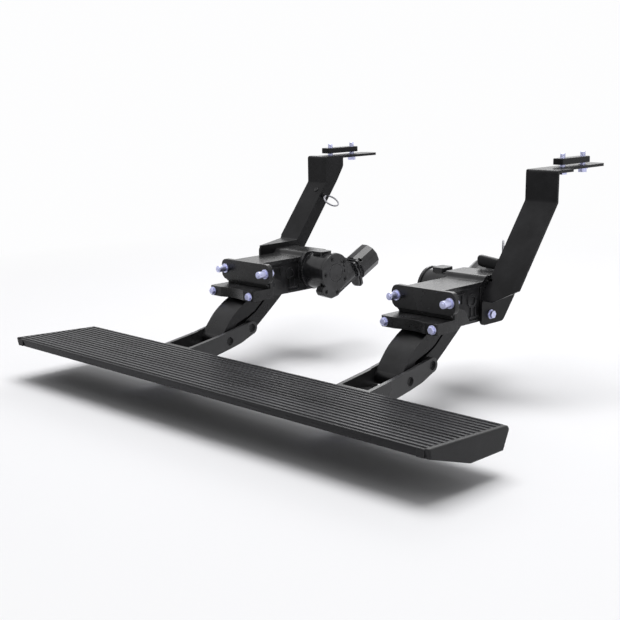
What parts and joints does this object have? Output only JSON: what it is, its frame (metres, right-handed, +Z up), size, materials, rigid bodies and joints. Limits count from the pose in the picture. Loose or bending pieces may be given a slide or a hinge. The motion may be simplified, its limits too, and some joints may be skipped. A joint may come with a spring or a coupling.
{
  "type": "electric side step",
  "caption": "Powered running board for a vehicle's sill: a ribbed step carried by folding parallelogram links with gear motors, hung on folded brackets.",
  "frame": {"origin": "centre of the clamp bolts, on the clamp bars' upper faces, midway between the two link mechanisms", "axes": "+X along the board to its right end, +Y inboard under the vehicle, +Z up"},
  "size_m": [0.993, 0.7895, 0.3883],
  "materials": {
    "tread_coat": "satin",
    "black_plastic": "matt, fine grain",
    "cover_plastic": "matt",
    "grey_plastic": "satin",
    "bush_bronze": "turned",
    "dark_steel": "turned, oiled",
    "black_screws": "satin",
    "zinc_steel": "bright zinc plated",
    "cast_black": "satin powder coat on a casting",
    "black_coat": "satin powder coat"
  },
  "bodies": {
    "fixed_frame": {"left_bracket_bolt": "zinc_steel", "left_clamp_bar": "black_coat", "left_clamp_bolts": "zinc_steel", "left_cover_screws": "black_screws", "left_gearbox": "cast_black", "left_gearbox_cover": "cast_black", "left_housing": "black_coat", "left_lower_bolts": "zinc_steel", "left_motor_case": "cast_black", "left_motor_screws": "black_screws", "left_pivot_covers": "cover_plastic", "left_tie_clip": "black_plastic", "left_tie_ring": "grey_plastic", "left_upper_bracket": "black_coat", "left_upper_nuts": "zinc_steel", "left_upper_pins": "dark_steel", "left_upper_studs": "zinc_steel", "right_bracket_bolt": "zinc_steel", "right_clamp_bar": "black_coat", "right_clamp_bolts": "zinc_steel", "right_cover_screws": "black_screws", "right_gearbox": "cast_black", "right_gearbox_cover": "cast_black", "right_housing": "black_coat", "right_lower_bolts": "zinc_steel", "right_motor_case": "cast_black", "right_motor_screws": "black_screws", "right_pivot_covers": "cover_plastic", "right_plug_holder": "black_plastic", "right_tie_clip": "black_plastic", "right_upper_bracket": "black_coat", "right_upper_nuts": "zinc_steel", "right_upper_pins": "dark_steel", "right_upper_studs": "zinc_steel"},
    "step": {"left_end_cap": "black_plastic", "left_fork": "black_coat", "left_fork_bolts": "zinc_steel", "left_lower_pins": "dark_steel", "right_end_cap": "black_plastic", "right_fork": "black_coat", "right_fork_bolts": "zinc_steel", "right_lower_pins": "dark_steel", "running_board": "tread_coat"},
    "left_drive": {"left_drive_link": "black_coat", "left_drive_link_bushes": "bush_bronze"},
    "left_rear": {"left_rear_link": "black_coat", "left_rear_link_bushes": "bush_bronze", "left_rod_pin": "dark_steel"},
    "right_drive": {"right_drive_link": "black_coat", "right_drive_link_bushes": "bush_bronze"},
    "right_rear": {"right_rear_link": "black_coat", "right_rear_link_bushes": "bush_bronze", "right_rod_pin": "dark_steel"},
    "left_crank_arm": {"left_crank": "dark_steel", "left_crank_pin": "dark_steel"},
    "right_crank_arm": {"right_crank": "dark_steel", "right_crank_pin": "dark_steel"},
    "left_rod": {"left_drive_rod": "dark_steel"},
    "right_rod": {"right_drive_rod": "dark_steel"}
  },
  "joints": [
    {"name": "step_swing", "type": "hinge", "parent": "fixed_frame", "child": "left_drive", "pos_m": [-0.22, -0.308, -0.2445], "axis": [1, 0, 0], "range_deg": [0, 100]},
    {"name": "step_level", "type": "hinge", "parent": "left_drive", "child": "step", "pos_m": [-0.22, -0.417, -0.3375], "axis": [1, 0, 0], "range_deg": [-100, 0]},
    {"name": "left_rear_swing", "type": "hinge", "parent": "fixed_frame", "child": "left_rear", "pos_m": [-0.22, -0.251, -0.228], "axis": [1, 0, 0], "range_deg": [0, 100]},
    {"name": "left_crank_turn", "type": "hinge", "parent": "fixed_frame", "child": "left_crank_arm", "pos_m": [-0.22, -0.1965, -0.228], "axis": [1, 0, 0], "range_deg": [0, 100]},
    {"name": "left_rod_pivot", "type": "hinge", "parent": "left_crank_arm", "child": "left_rod", "pos_m": [-0.22, -0.2178, -0.24617], "axis": [1, 0, 0], "range_deg": [-100, 0]},
    {"name": "right_drive_swing", "type": "hinge", "parent": "fixed_frame", "child": "right_drive", "pos_m": [0.22, -0.308, -0.2445], "axis": [1, 0, 0], "range_deg": [0, 100]},
    {"name": "right_rear_swing", "type": "hinge", "parent": "fixed_frame", "child": "right_rear", "pos_m": [0.22, -0.251, -0.228], "axis": [1, 0, 0], "range_deg": [0, 100]},
    {"name": "right_crank_turn", "type": "hinge", "parent": "fixed_frame", "child": "right_crank_arm", "pos_m": [0.22, -0.1965, -0.228], "axis": [1, 0, 0], "range_deg": [0, 100]},
    {"name": "right_rod_pivot", "type": "hinge", "parent": "right_crank_arm", "child": "right_rod", "pos_m": [0.22, -0.2178, -0.24617], "axis": [1, 0, 0], "range_deg": [-100, 0]}
  ],
  "couplings": [
    {"joint": "step_level", "follows": "step_swing", "ratio": -1},
    {"joint": "left_rear_swing", "follows": "step_swing", "ratio": 1},
    {"joint": "left_crank_turn", "follows": "step_swing", "ratio": 1},
    {"joint": "left_rod_pivot", "follows": "step_swing", "ratio": -1},
    {"joint": "right_drive_swing", "follows": "step_swing", "ratio": 1},
    {"joint": "right_rear_swing", "follows": "step_swing", "ratio": 1},
    {"joint": "right_crank_turn", "follows": "step_swing", "ratio": 1},
    {"joint": "right_rod_pivot", "follows": "step_swing", "ratio": -1}
  ]
}
